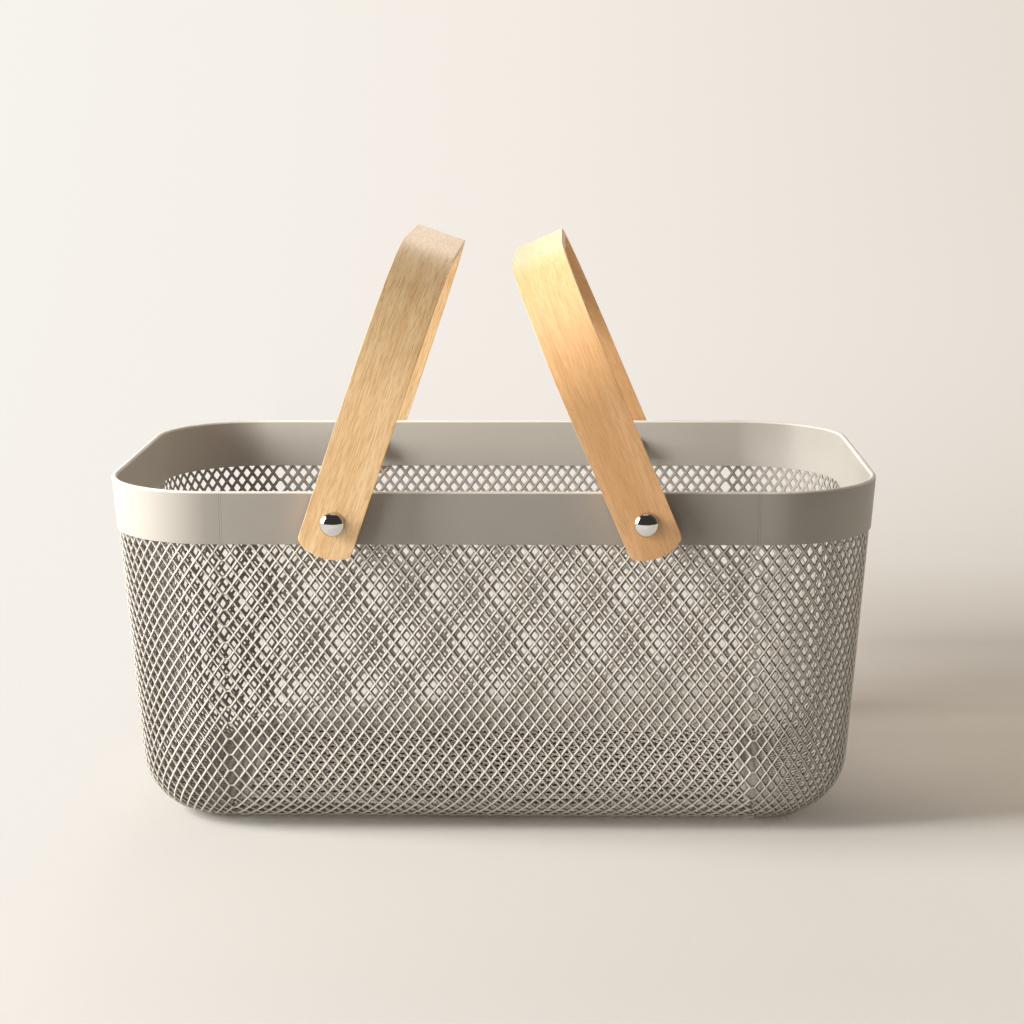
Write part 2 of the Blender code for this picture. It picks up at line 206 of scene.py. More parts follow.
# Powder coat: a warm grey, with painted light on the band and painted light and shade by depth on the mesh.
coatLook = {
    "band": (0.350, 0.325, 0.290),
    # The mesh's colour by depth, from a strand's ridge (0) to its back (1), is painted light and shade:
    # a painted highlight on the ridge and upper flanks, painted shade below, darkest in the hole walls, a
    # lighter back.
    "mesh": [(0.0, (0.70, 0.657, 0.596)), (0.22, (0.62, 0.580, 0.525)), (0.36, (0.26, 0.239, 0.210)),
             (0.62, (0.075, 0.067, 0.058)), (1.0, (0.48, 0.441, 0.391))],
    # The end sheets take the same stops darker: painted shade for the shaded right end, which the left end
    # shares.
    "endMesh": [(0.0, (0.60, 0.560, 0.502)), (0.22, (0.51, 0.474, 0.423)), (0.36, (0.21, 0.192, 0.168)),
                (0.62, (0.055, 0.049, 0.042)), (1.0, (0.35, 0.321, 0.283))],
    "insidePaintedLight": 0.34,                # painted light: how much lighter the band's inner face is at the back and left
    "insideTurn": (0.3, 1.3),          # and from which slant of that face to which
    "rightPaintedLight": 0.14,                 # the same painted light at the right end
    "rightTurn": (0.4, 1.0),
    "foldPaintedHighlight": 0.9,                   # and a painted highlight where the band faces up, along the fold's top
    "foldTurn": (0.12, 0.5),
    "roughness": 0.42,
    "roughSpread": 0.12,
    "specular": 0.15,
    "peelSize": 900.0,                 # orange peel, in cells per metre
    "peelDetail": 2.0,
    "peelDepth": 0.02 * mm,
    "facing": (0.0, 0.02),             # what counts as facing in, for the inner face
    "mottleSize": 22.0,
    "mottleDetail": 4.0,
    "mottle": 0.06,
}

weldLook = {
    "spread": 0.55 * mm,               # two fine lines, one each side of the seam
    "width": 0.30 * mm,
    "depth": 0.05 * mm,
    "shade": 0.25,
    "colour": (0.14, 0.125, 0.108),
}


def coatColour(shader, colour):
    # One colour, or a list of stops by the strand's depth.
    if isinstance(colour, tuple):
        return colour
    depth = shader.node("Attribute", {"attribute_name": "strandDepth"}, None, "Fac")
    return shader.node("ValToRGB", {"stops": colour}, {"Fac": depth})


def bandPaintedLightAndWelds(shader, place, paint, look):
    # Painted light on the inner face, a painted highlight on the fold, and weld lines on the outside. Returns
    # the paint and where the lines are.
    normal = shader.node("NewGeometry", None, None, "Normal")
    flat = stretched(shader, place, (1, 1, 0))
    outward = shader.node("VectorMath", {"operation": "DOT_PRODUCT"}, {0: normal, 1: flat}, "Value")
    inward = (0 - outward).within(*look["facing"])
    turned = shader.node("SeparateXYZ", None, {0: normal}, "X")
    backOrLeft = (turned - turned.output("Y")).within(*look["insideTurn"])
    atRight = (0 - turned).within(*look["rightTurn"])
    # Painted light: the inner face lighter at the back, left and right, and a painted highlight where the
    # band faces up.
    paintedLight = 1 + inward * (backOrLeft * look["insidePaintedLight"] + atRight * look["rightPaintedLight"])
    paintedLight = paintedLight + turned.output("Z").within(*look["foldTurn"]) * look["foldPaintedHighlight"]
    x = abs(shader.node("SeparateXYZ", None, {0: place}, "X"))
    off = abs(abs(x - tub["seam"]) - weldLook["spread"])
    line = (1 - off.within(weldLook["width"] / 3, weldLook["width"])) * (1 - inward)
    paint = mixColour(shader, line * weldLook["shade"], scaled(shader, paint, paintedLight), weldLook["colour"])
    return paint, line


def makeCoat(name, colour, look, isBand=False):
    material, shader = newFinish(name)
    place = objectPlace(shader)
    mottle = cloud(shader, place, look["mottleSize"], look["mottleDetail"])
    peel = cloud(shader, place, look["peelSize"], look["peelDetail"])
    shade = 1 - look["mottle"] + mottle * (2 * look["mottle"])
    paint = scaled(shader, coatColour(shader, colour), shade)
    height = peel * look["peelDepth"]
    if isBand:
        paint, line = bandPaintedLightAndWelds(shader, place, paint, look)
        height = height - line * weldLook["depth"]
    rough = look["roughness"] + (mottle - 0.5) * look["roughSpread"]
    inputs = {"Base Color": paint, "Roughness": rough, "Normal": relief(shader, height),
              "Specular IOR Level": look["specular"]}
    closeFinish(shader, shader.node("BsdfPrincipled", None, inputs))
    return material


bandPaint = makeCoat("bandPaint", coatLook["band"], coatLook, True)
meshPaint = makeCoat("meshPaint", coatLook["mesh"], coatLook)
endMeshPaint = makeCoat("endMeshPaint", coatLook["endMesh"], coatLook)
print("powder coat mixed")

# Plywood: pale rotary-cut face veneer under satin lacquer, with the plies showing on the strap's edges.
woodLook = {
    "pale": (0.930, 0.660, 0.360),
    "deep": (0.820, 0.530, 0.250),
    "fibre": (0.560, 0.290, 0.100),
    "edgePale": (0.960, 0.860, 0.680),
    "edgeDeep": (0.840, 0.660, 0.440),
    # Figure in the veneer: cells per metre along, across and through it, and how much of the noise shows.
    "broad": {"stretch": (9, 150, 150), "detail": 5.0, "roughness": 0.6, "window": (0.32, 0.70)},
    "streak": {"stretch": (60, 1300, 1300), "detail": 3.0, "window": (0.48, 0.66), "share": 0.50},
    "fleck": {"stretch": (200, 2300, 2300), "detail": 2.0, "window": (0.50, 0.66), "share": 0.48},
    "streakDepth": 0.04 * mm,
    "fleckDepth": 0.03 * mm,
    "plies": 5,
    "plyWindow": (0.35, 0.65),
    "edgeWindow": (0.4, 0.6),
    "edgeStreak": (0.5, 0.8),
    "edgeShare": 0.3,
    "roughness": 0.50,
    "roughSpread": 0.2,
    "specular": 1.0,
    "lacquer": 0.3,
    "lacquerRoughness": 0.42,
}

warmerVeneer = {                       # the right handle's face is a little more orange
    "pale": (0.820, 0.480, 0.225),
    "deep": (0.720, 0.380, 0.150),
}


def figure(shader, strap, look):
    roughness = look.get("roughness", 0.5)
    return cloud(shader, stretched(shader, strap, look["stretch"]), 1.0, look["detail"], roughness)


def makePlywood(name, look, thickness):
    material, shader = newFinish(name)
    strap = shader.node("Attribute", {"attribute_name": "strapPlace"}, None, "Vector")
    broad, streak, fleck = (figure(shader, strap, look[kind]) for kind in ("broad", "streak", "fleck"))
    face = mixColour(shader, broad.within(*look["broad"]["window"]), look["deep"], look["pale"])
    for noise, kind in ((streak, "streak"), (fleck, "fleck")):
        share = noise.within(*look[kind]["window"]) * look[kind]["share"]
        face = mixColour(shader, share, face, look["fibre"])
    parts = shader.node("SeparateXYZ", None, {0: strap}, "X")
    through = parts.output("Z") * (look["plies"] / thickness)
    ply = shader.node("Math", {"operation": "PINGPONG"}, {0: through, 1: 1.0})
    edge = mixColour(shader, ply.within(*look["plyWindow"]), look["edgeDeep"], look["edgePale"])
    edge = mixColour(shader, streak.within(*look["edgeStreak"]) * look["edgeShare"], edge, look["edgeDeep"])
    isEdge = shader.node("Attribute", {"attribute_name": "strapEdge"}, None, "Fac")
    height = 0 - streak * look["streakDepth"] - fleck * look["fleckDepth"]
    inputs = {
        "Base Color": mixColour(shader, isEdge.within(*look["edgeWindow"]), face, edge),
        "Roughness": look["roughness"] + (streak - 0.5) * look["roughSpread"],
        "Normal": relief(shader, height),
        "Specular IOR Level": look["specular"],
        "Coat Weight": look["lacquer"],
        "Coat Roughness": look["lacquerRoughness"],
    }
    closeFinish(shader, shader.node("BsdfPrincipled", None, inputs))
    return material


# Metals and plastic of the pivots.
grainShade = 0.86                      # the share of the colour in the grain's deepest places
grainDetail = 3.0
metalLook = {
    "chrome": {"colour": (0.80, 0.79, 0.78), "metal": 1.0, "roughness": 0.06, "grain": 500.0, "spread": 0.03},
    "zinc": {"colour": (0.42, 0.42, 0.42), "metal": 1.0, "roughness": 0.38, "grain": 900.0, "spread": 0.15},
    "nylon": {"colour": (0.05, 0.048, 0.045), "metal": 0.0, "roughness": 0.6, "grain": 700.0, "spread": 0.1},
}


def makeSmallFinish(name, look):
    material, shader = newFinish(name)
    grain = cloud(shader, objectPlace(shader), look["grain"], grainDetail)
    deep = tuple(c * grainShade for c in look["colour"])
    colour = mixColour(shader, grain, deep, look["colour"])
    rough = look["roughness"] + grain * look["spread"]
    inputs = {"Base Color": colour, "Roughness": rough, "Metallic": look["metal"]}
    closeFinish(shader, shader.node("BsdfPrincipled", None, inputs))
    return material


smallFinish = {slot: makeSmallFinish(slot + "Finish", look) for slot, look in metalLook.items()}
print("metals and plastic mixed")


def newPiece(name, places, faces, material, body, node):
    mesh = bpy.data.meshes.new(name)
    mesh.from_pydata([tuple(p) for p in places], [], faces)
    mesh.materials.append(material)
    mesh.shade_smooth()
    piece = bpy.data.objects.new(name, mesh)
    bpy.context.scene.collection.objects.link(piece)
    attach(piece, body)
    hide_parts(node)
    return piece


pivots = {joint["child"]: Vector(joint["pos_m"]) for joint in frame["joints"]}
pivotBore = {"radius": 2.8 * mm, "steps": 40, "reach": 150 * mm}


def boreAcross(piece, places):
    # Holes through a piece along Y, for the pivot screws. The piece's mesh is left with the holes in it.
    graph = bpy.context.evaluated_depsgraph_get()
    cutters = []
    for x, z in places:
        mesh = bpy.data.meshes.new("pivotCutter")
        shape = bmesh.new()
        aim = Matrix.Translation((x, 0, z)) @ Matrix.Rotation(math.pi / 2, 4, "X")
        bmesh.ops.create_cone(shape, cap_ends=True, segments=pivotBore["steps"], radius1=pivotBore["radius"],
                              radius2=pivotBore["radius"], depth=2 * pivotBore["reach"], matrix=aim)
        shape.to_mesh(mesh)
        shape.free()
        cutter = bpy.data.objects.new("pivotCutter", mesh)
        bpy.context.scene.collection.objects.link(cutter)
        cut = piece.modifiers.new("bore", "BOOLEAN")
        cut.operation = "DIFFERENCE"
        cut.object = cutter
        cutters.append(cutter)
    graph.update()
    bored = bpy.data.meshes.new_from_object(piece.evaluated_get(graph))
    piece.modifiers.clear()
    piece.data = bored
    for cutter in cutters:
        bpy.data.objects.remove(cutter)


# Expanded mesh. A place on a sheet is given by its column, its row and its depth below the outer face.
# Columns and rows are half cells. Strands cross where column + row is even, and a hole lies where it is odd.
meshLook = {
    "barHalf": 1.1 * mm,               # half of each short bar that joins two sheets at a seam
    "columns": 82,                     # half cells along the centre sheet
    "rowsToMiddle": 57,                # half cells from the band's edge to the middle of the floor
    "endColumns": 96,                  # half cells round an end sheet
    "endRows": 44,
    "gauge": 1.38 * mm,
    # A strand's section from its ridge to its back: half width, depth, how far the holes' tips are eased,
    # and how far the section leans to the left, for a broad left flank and a steep right one.
    "section": ((0.50 * mm, 0.42 * mm, 0.0, 0.26 * mm), (0.93 * mm, 0.80 * mm, 0.12, 0),
                (0.80 * mm, 1.22 * mm, 0.16, 0)),
    "creaseAngle": math.radians(62),
    "tuckRow": -1,                     # the top crossings, up in the band
}


def wallOffset(z):
    return (tub["height"] - z) * tub["slope"] + tub["meshInset"]


def meshProfile(run, depth):
    # How far in from the rim's outline, and how high, after a run down from the band's edge.
    lean = tub["lean"]
    radius = tub["floorRadius"]
    centre = wallOffset(radius) + radius / math.cos(lean)
    bendTop = radius * (1 - math.sin(lean))
    wallRun = (tub["bandEdge"] - bendTop) / math.cos(lean)
    bendRun = radius * (math.pi / 2 - lean)
    angle = np.clip(lean + (run - wallRun) / radius, lean, math.pi / 2)
    above = np.minimum(run - wallRun, 0)
    beyond = np.maximum(run - wallRun - bendRun, 0)
    inward = centre - (radius - depth) * np.cos(angle) + above * math.sin(lean) + beyond
    z = radius - (radius - depth) * np.sin(angle) - above * math.cos(lean)
    return inward, z


def wallAndBendRun():
    lean = tub["lean"]
    radius = tub["floorRadius"]
    wallRun = (tub["bandEdge"] - radius * (1 - math.sin(lean))) / math.cos(lean)
    return wallRun + radius * (math.pi / 2 - lean)


def halfRow():
    floorStart = meshProfile(np.array(wallAndBendRun()), 0)[0]
    floorHalf = tub["halfWidth"] - floorStart
    return float(wallAndBendRun() + floorHalf) / meshLook["rowsToMiddle"]


rowSize = halfRow()
edgeColumn = tub["seam"] - meshLook["barHalf"]
columnSize = 2 * edgeColumn / meshLook["columns"]


def centrePlace(column, row, depth):
    rows = 2 * meshLook["rowsToMiddle"]
    near = row <= meshLook["rowsToMiddle"]
    inward, z = meshProfile(np.where(near, row, rows - row) * rowSize, depth)
    y = tub["halfWidth"] - inward
    return np.stack([column * columnSize - edgeColumn, np.where(near, -y, y), z], axis=-1)


def cornerSizes(inward):
    # Rounded outline of the tub at a distance in from the rim: half sizes, radius and corner centre.
    length = tub["halfLength"] - inward
    width = tub["halfWidth"] - inward
    radius = np.maximum(tub["cornerRadius"] - inward, tub["leastCorner"])
    return length, width, radius, length - radius, width - radius


def endOutline(inward, start):
    length, width, radius, cornerX, cornerY = cornerSizes(inward)
    straight = np.maximum(cornerX - start, 0)
    firstAngle = np.arcsin(np.clip((start - cornerX) / radius, 0, 1))
    arc = radius * (math.pi / 2 - firstAngle)
    return straight, firstAngle, arc, 2 * (straight + arc + cornerY)


def endPlace(column, row, depth):
    # Round the right-hand end, from the front seam to the back one.
    start = 2 * tub["seam"] - edgeColumn
    total = endOutline(meshProfile(row * rowSize, 0)[0], start)[3]
    pitch = total / meshLook["endColumns"]
    inward, z = meshProfile(row * rowSize, depth)
    length, width, radius, cornerX, cornerY = cornerSizes(inward)
    straight, firstAngle, arc, whole = endOutline(inward, start)
    fromFront = column <= meshLook["endColumns"] / 2
    inner = np.where(fromFront, column, meshLook["endColumns"] - column)
    run = np.where(inner < 0, inner * pitch, inner / meshLook["endColumns"] * whole)
    angle = np.clip(firstAngle + (run - straight) / radius, -1, math.pi / 2)
    onStraight = (run < straight) & (straight > 0)
    onSide = run > straight + arc
    x = np.where(onStraight, start + run, np.where(onSide, length, cornerX + radius * np.sin(angle)))
    y = np.where(onStraight, -width, -cornerY - radius * np.cos(angle))
    y = np.where(onSide, run - straight - arc - cornerY, y)
    return np.stack([x, np.where(fromFront, y, -y), z], axis=-1)


def endPitch(row):
    inward = meshProfile(np.array(row * rowSize), 0)[0]
    total = endOutline(inward, 2 * tub["seam"] - edgeColumn)[3]
    return float(total) / meshLook["endColumns"]


class Sheet:
    # Gathers the places and faces of one sheet of mesh, hole by hole.
    def __init__(self, columns, firstRow, lastRow, pitch, lean=-1):
        self.columns = columns
        self.lean = lean               # which way along the columns the strands lean
        self.firstRow = firstRow
        self.lastRow = lastRow
        self.pitch = pitch
        self.known = {}
        self.marks = []
        self.faces = []

    def mark(self, column, row, depth):
        key = (round(column, 5) + 0.0, round(row, 5) + 0.0, round(depth / mm, 4))
        if key not in self.known:
            self.known[key] = len(self.marks)
            self.marks.append((column, row, depth))
        return self.known[key]

    def levels(self, row):
        # A half cell's size along X near a row, and the strand's section, slimmer where cells are narrow.
        across = self.pitch(row)
        slim = math.sqrt(across / columnSize)
        return across, [(half * slim, depth, eased, self.lean * shift * slim / across)
                        for half, depth, eased, shift in meshLook["section"]]

    def addRing(self, outer, loops, closed):
        # Faces from the ridge over the strand's side to the back, round one hole.
        ridge = [self.mark(c, r, 0) for c, r in outer]
        back = [self.mark(c, r, meshLook["gauge"]) for c, r in outer]
        rings = [ridge] + [[self.mark(c, r, depth) for c, r in loop] for loop, depth in loops] + [back]
        count = len(outer)
        for near, far in zip(rings, rings[1:]):
            for k in range(count if closed else count - 1):
                n = (k + 1) % count
                face = tuple(dict.fromkeys((near[k], near[n], far[n], far[k])))
                if len(face) > 2:
                    self.faces.append(face)
        return rings

    def corners(self, eased):
        # A hole's outline with its top and bottom tips cut off square. Uncut tips are two points in one.
        tip = 1 - eased
        return (-1, 0), (-eased, tip), (eased, tip), (1, 0), (eased, -tip), (-eased, -tip)

    def addHole(self, column, row):
        across, levels = self.levels(row)
        side = math.hypot(across, rowSize)
        loops = []
        for half, depth, eased, shift in levels:
            keep = 1 - half * side / (across * rowSize)
            loop = [(column + shift + c * keep, row + r * keep) for c, r in self.corners(eased)]
            loops.append((loop, depth))
        self.addRing([(column + c, row + r) for c, r in self.corners(0)], loops, True)

    def addSeamHole(self, row, out):
        # Half a hole beside the seam. The short bars above and below it run out to the seam.
        across, levels = self.levels(row)
        edge = 0 if out < 0 else self.columns
        bar = meshLook["barHalf"] / across
        side = math.hypot(across, rowSize)

        def path(half):
            tip = 1 - half * side / (across * rowSize)
            shoulder = half * (side - across) / (across * rowSize)
            drop = 1 - half / rowSize
            barEnd = edge + out * bar
            turn = edge + out * shoulder
            return [(barEnd, row + drop), (turn, row + drop), (edge - out * tip, row),
                    (turn, row - drop), (barEnd, row - drop)]

        outer = path(0)
        loops = [(path(half), depth) for half, depth, eased, shift in levels]
        if out > 0:
            outer = outer[::-1]
            loops = [(loop[::-1], depth) for loop, depth in loops]
        rings = self.addRing(outer, loops, False)
        first, last = (0, -1) if out < 0 else (-1, 0)
        return [ring[first] for ring in rings], [ring[last] for ring in rings]

    def addSeam(self, out):
        ends = {}
        for row in range(self.firstRow + 1, self.lastRow):
            if row % 2:
                lower, upper = self.addSeamHole(row, out)
                ends[row] = (upper, lower)
        for row in range(self.firstRow, self.lastRow + 1):
            if row % 2 == 0:
                above = ends.get(row - 1, (None, None))[1]
                below = ends.get(row + 1, (None, None))[0]
                cap = [(above or below)[0]] + (above[1:-1] if above else []) + [(above or below)[-1]]
                cap += below[-2:0:-1] if below else []
                self.faces.append(tuple(cap if out < 0 else cap[::-1]))

    def addRim(self, row, out):
        # Closes the sheet's cut edge, which zigzags between this row and its neighbour.
        nodes = [(c, row if (c + row) % 2 == 0 else row - out) for c in range(self.columns + 1)]
        across = self.pitch(nodes[0][1])
        bar = meshLook["barHalf"] / across
        nodes = [(-bar, nodes[0][1])] + nodes + [(self.columns + bar, nodes[-1][1])]
        for left, right in zip(nodes, nodes[1:]):
            face = [self.mark(*left, 0), self.mark(*right, 0)]
            face += [self.mark(*right, meshLook["gauge"]), self.mark(*left, meshLook["gauge"])]
            self.faces.append(tuple(face if out < 0 else face[::-1]))

    def build(self, place, mirror=False):
        for row in range(self.firstRow + 1, self.lastRow):
            for column in range(1, self.columns):
                if (column + row) % 2:
                    self.addHole(column, row)
        self.addSeam(-1)
        self.addSeam(1)
        self.addRim(self.firstRow, -1)
        self.addRim(self.lastRow, 1)
        marks = np.array(self.marks)
        places = place(marks[:, 0], marks[:, 1], marks[:, 2])
        if mirror:
            places = places * np.array([-1, 1, 1])
            self.faces = [face[::-1] for face in self.faces]
        return places, self.faces, marks[:, 2] / meshLook["gauge"]


def newLattice(name, node, paint, places, faces, depths):
    piece = newPiece(name, places, faces, paint, "basket", node)
    piece.data.set_sharp_from_angle(angle=meshLook["creaseAngle"])
    layer = piece.data.attributes.new("strandDepth", "FLOAT", "POINT")
    layer.data.foreach_set("value", depths)


def makeCentreMesh():
    lastRow = 2 * meshLook["rowsToMiddle"] - meshLook["tuckRow"]
    sheet = Sheet(meshLook["columns"], meshLook["tuckRow"], lastRow, lambda row: columnSize)
    newLattice("centre_lattice", "center_mesh", meshPaint, *sheet.build(centrePlace))


# A flat strip under the floor's edge of each end sheet, where the centre sheet is welded to it.
floorStrip = {
    "inner": 133.1 * mm,
    "outer": 136.6 * mm,
    "halfLength": 54.5 * mm,
    "bottom": 0.1 * mm,
    "top": 1.3 * mm,
    "ease": 0.2 * mm,
}


def addFloorStrip(places, faces, depths, mirror):
    # An eight-sided bar along Y: its outline is a rectangle with eased corners.
    inner, outer, bottom, top = (floorStrip[k] for k in ("inner", "outer", "bottom", "top"))
    ease = floorStrip["ease"]
    outline = [(inner + ease, bottom), (outer - ease, bottom), (outer, bottom + ease), (outer, top - ease),
               (outer - ease, top), (inner + ease, top), (inner, top - ease), (inner, bottom + ease)]
    side = -1 if mirror else 1
    ends = (-floorStrip["halfLength"], floorStrip["halfLength"])
    strip = [(side * x, y, z) for y in ends for x, z in outline]
    first = len(places)
    count = len(outline)
    sides = [(k, (k + 1) % count, (k + 1) % count + count, k + count) for k in range(count)]
    caps = [tuple(range(count))[::-1], tuple(range(count, 2 * count))]
    turned = [tuple(first + c for c in (face if mirror else face[::-1])) for face in sides + caps]
    return np.vstack([places, strip]), faces + turned, np.append(depths, np.ones(2 * count))


def makeEndMesh(name, node, mirror):
    lean = 1 if mirror else -1
    sheet = Sheet(meshLook["endColumns"], meshLook["tuckRow"], meshLook["endRows"], endPitch, lean)
    newLattice(name, node, endMeshPaint, *addFloorStrip(*sheet.build(endPlace, mirror), mirror))


makeCentreMesh()
makeEndMesh("right_end_lattice", "right_end_mesh", False)
makeEndMesh("left_end_lattice", "left_end_mesh", True)
print("mesh sheets woven")

# Folded band round the rim.
bandLook = {
    "thickness": 2.8 * mm,
    "gauge": 0.5 * mm,
    "edgeRound": 0.15 * mm,
    "foldSteps": 10,
    "cornerSteps": 40,
    "sideSteps": 12,
    "endSteps": 8,
    "creaseAngle": math.radians(35),
}


def bandSection(look):
    # Points (in from the rim's face, height): up the outside, over the fold, down inside and up the slot.
    height = tub["height"]
    edge = tub["bandEdge"]
    fold = look["thickness"] / 2
    inner = fold - look["gauge"]
    small = look["edgeRound"]
    steps = look["foldSteps"]
    turn = [math.pi * k / steps for k in range(steps + 1)]
    outside = [(0, edge + small)]
    outside += [(fold - fold * math.cos(a), height - fold + fold * math.sin(a)) for a in turn]
    outside += [(look["thickness"], edge + small), (look["thickness"] - small, edge)]
    hem = look["thickness"] - look["gauge"]
    inside = [(hem + small, edge), (hem, edge + small)]
    inside += [(fold + inner * math.cos(a), height - fold + inner * math.sin(a)) for a in turn]
    inside += [(look["gauge"], edge + small), (look["gauge"] - small, edge), (small, edge)]
    return outside + inside


def spread(first, last, steps):
    return [first + (last - first) * k / steps for k in range(steps)]


def rimOutline(look):
    # Marks round the tub: the quarter, the angle round its corner, and the share of the side after it.
    marks = []
    for quarter in range(4):
        steps = look["sideSteps"] if quarter % 2 == 0 else look["endSteps"]
        marks += [(quarter, a, 0.0) for a in spread(0, math.pi / 2, look["cornerSteps"])]
        marks += [(quarter, math.pi / 2, share) for share in spread(0, 1, steps)]
    return marks


def rimPlace(inward, mark):
    # Quarters run anticlockwise from the back right corner.
    quarter, angle, share = mark
    length, width, radius, cornerX, cornerY = (float(v) for v in cornerSizes(inward))
    turn = quarter * math.pi / 2 + angle
    signs = ((1, 1), (-1, 1), (-1, -1), (1, -1))
    sx, sy = signs[quarter]
    x = sx * cornerX + radius * math.cos(turn)
    y = sy * cornerY + radius * math.sin(turn)
    nx, ny = signs[(quarter + 1) % 4]
    return x + (nx - sx) * cornerX * share, y + (ny - sy) * cornerY * share


def makeBand(look):
    section = bandSection(look)
    marks = rimOutline(look)
    places = []
    for t, z in section:
        inward = (tub["height"] - z) * tub["slope"] + t
        places += [(*rimPlace(inward, mark), z) for mark in marks]
    rounds = len(marks)
    rows = len(section)
    faces = []
    for row in range(rows):
        for k in range(rounds):
            n = (k + 1) % rounds
            low = row * rounds
            high = (row + 1) % rows * rounds
            faces.append((low + k, low + n, high + n, high + k))
    piece = newPiece("folded_band", places, faces, bandPaint, "basket", "rim_band")
    boreAcross(piece, [(pivot.x, pivot.z) for pivot in pivots.values()])
    piece.data.set_sharp_from_angle(angle=look["creaseAngle"])


makeBand(bandLook)
print("band folded")

# Handles, bent from a plywood strap. Sizes are along the strap, from its pivot.
strap = {
    "width": 27.6 * mm,
    "thickness": 4.8 * mm,
    "rise": 138.3 * mm,
    "bendRadius": 71.5 * mm,           # of the strap's middle
    "footDrop": 17.7 * mm,
    "footBow": 4.9 * mm,
    "footCorner": 4.0 * mm,
    "middle": 122.27 * mm,             # the legs' middle, out from the basket's middle
    "edgeRound": 1.4 * mm,
    "roundSteps": 3,
    "bendSteps": 28,
    "acrossSteps": 26,
    "legSteps": 16,
    "topSteps": 10,
    "edgeAngle": math.radians(50),
    "creaseAngle": math.radians(40),
    "edgeShare": 0.3,                  # how far down the edge's round the face veneer reaches
}
strap["bendZ"] = strap["rise"] - strap["thickness"] / 2 - strap["bendRadius"]
strap["bendY"] = strap["middle"] - strap["bendRadius"]


def footEnd(x):
    # The foot's outline: a bowed end that meets the strap's edges in small rounds.
    half = strap["width"] / 2
    bow = strap["footBow"]
    radius = (half * half + bow * bow) / (2 * bow)
    small = strap["footCorner"]
    centreZ = radius - strap["footDrop"]
    cornerX = half - small
    cornerZ = centreZ - math.sqrt((radius - small) ** 2 - cornerX ** 2)
    touchX = cornerX * radius / (radius - small)
    x = min(abs(x), half)
    if x <= touchX:
        return centreZ - math.sqrt(radius * radius - x * x)
    return cornerZ - math.sqrt(max(small * small - (x - cornerX) ** 2, 0))


def strapPath():
    # Stations up the front leg, round the bends and down the back: (y, z, how much the foot's outline shows).
    bendZ = strap["bendZ"]
    bendY = strap["bendY"]
    radius = strap["bendRadius"]
    climb = [k / strap["legSteps"] for k in range(strap["legSteps"])]
    leg = [(-strap["middle"], bendZ * share, 1 - share) for share in climb]
    turn = spread(0, math.pi / 2, strap["bendSteps"])
    bend = [(-bendY - radius * math.cos(a), bendZ + radius * math.sin(a), 0) for a in turn]
    top = [(y, bendZ + radius, 0) for y in spread(-bendY, 0, strap["topSteps"])]
    half = leg + bend + top
    return half + [(0, bendZ + radius, 0)] + [(-y, z, foot) for y, z, foot in reversed(half)]


def strapPlaceOf(point):
    # Along the strap, across it and through it, for a point in the handle's own frame.
    x, y, z = point
    bendZ = strap["bendZ"]
    bendY = strap["bendY"]
    radius = strap["bendRadius"]
    quarter = radius * math.pi / 2
    if z < bendZ and abs(y) > bendY:
        along = z - bendZ
        through = abs(y) - strap["middle"]
    elif abs(y) > bendY:
        along = radius * math.atan2(z - bendZ, abs(y) - bendY)
        through = math.hypot(z - bendZ, abs(y) - bendY) - radius
    else:
        along = quarter + bendY - abs(y)
        through = z - bendZ - radius
    whole = quarter + bendY
    return (along if y < 0 else 2 * whole - along), x, through


def strapSurface():
    # The strap's middle surface: rows of places along the path, each across the strap.
    half = strap["width"] / 2
    steps = strap["acrossSteps"]
    across = [-half * math.cos(math.pi * k / steps) for k in range(steps + 1)]
    path = strapPath()
    places = [(x, y, z + foot * footEnd(x)) for y, z, foot in path for x in across]
    wide = len(across)
    lows = [row * wide + k for row in range(len(path) - 1) for k in range(wide - 1)]
    return places, [(low, low + 1, low + wide + 1, low + wide) for low in lows]


def thicken(piece):
    shell = piece.modifiers.new("plies", "SOLIDIFY")
    shell.thickness = strap["thickness"]
    shell.offset = 0
    shell.use_even_offset = True
    ease = piece.modifiers.new("eased", "BEVEL")
    ease.width = strap["edgeRound"]
    ease.segments = strap["roundSteps"]
    ease.limit_method = "ANGLE"
    ease.angle_limit = strap["edgeAngle"]
    ease.harden_normals = False


def markVeneer(mesh, shift):
    # Where each point lies on the strap, for the veneer's figure, and whether it shows the plies.
    marks = [strapPlaceOf(point.co) for point in mesh.vertices]
    flat = strap["thickness"] / 2 - strap["edgeRound"] * strap["edgeShare"]
    layout = mesh.attributes.new("strapPlace", "FLOAT_VECTOR", "POINT")
    layout.data.foreach_set("vector", [c for a, x, t in marks for c in (a + shift, x + shift, t)])
    edges = mesh.attributes.new("strapEdge", "FLOAT", "POINT")
    edges.data.foreach_set("value", [0.0 if abs(t) > flat else 1.0 for a, x, t in marks])


def makeHandle(name, node, look):
    mesh = bpy.data.meshes.new(name)
    places, faces = strapSurface()
    mesh.from_pydata(places, [], faces)
    piece = bpy.data.objects.new(name, mesh)
    bpy.context.scene.collection.objects.link(piece)
    thicken(piece)
    boreAcross(piece, [(0, 0)])
    finished = piece.data
    markVeneer(finished, look["veneerShift"])
    finished.transform(Matrix.Translation(pivots[node]) @ Matrix.Rotation(look["lean"], 4, "Y"))
    finished.materials.clear()
    finished.materials.append(look["veneer"])
    finished.shade_smooth()
    finished.set_sharp_from_angle(angle=strap["creaseAngle"])
    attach(piece, node)
    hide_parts(node)


paleBirch = makePlywood("paleBirchPlywood", woodLook, strap["thickness"])
warmBirch = makePlywood("warmBirchPlywood", {**woodLook, **warmerVeneer}, strap["thickness"])
handles = {
    "left": {"lean": math.radians(19.102), "veneerShift": 0.0, "veneer": paleBirch},
    "right": {"lean": math.radians(-23.075), "veneerShift": 0.7, "veneer": warmBirch},
}
for side, look in handles.items():
    makeHandle(side + "_strap", side + "_handle", look)
print("handles bent")

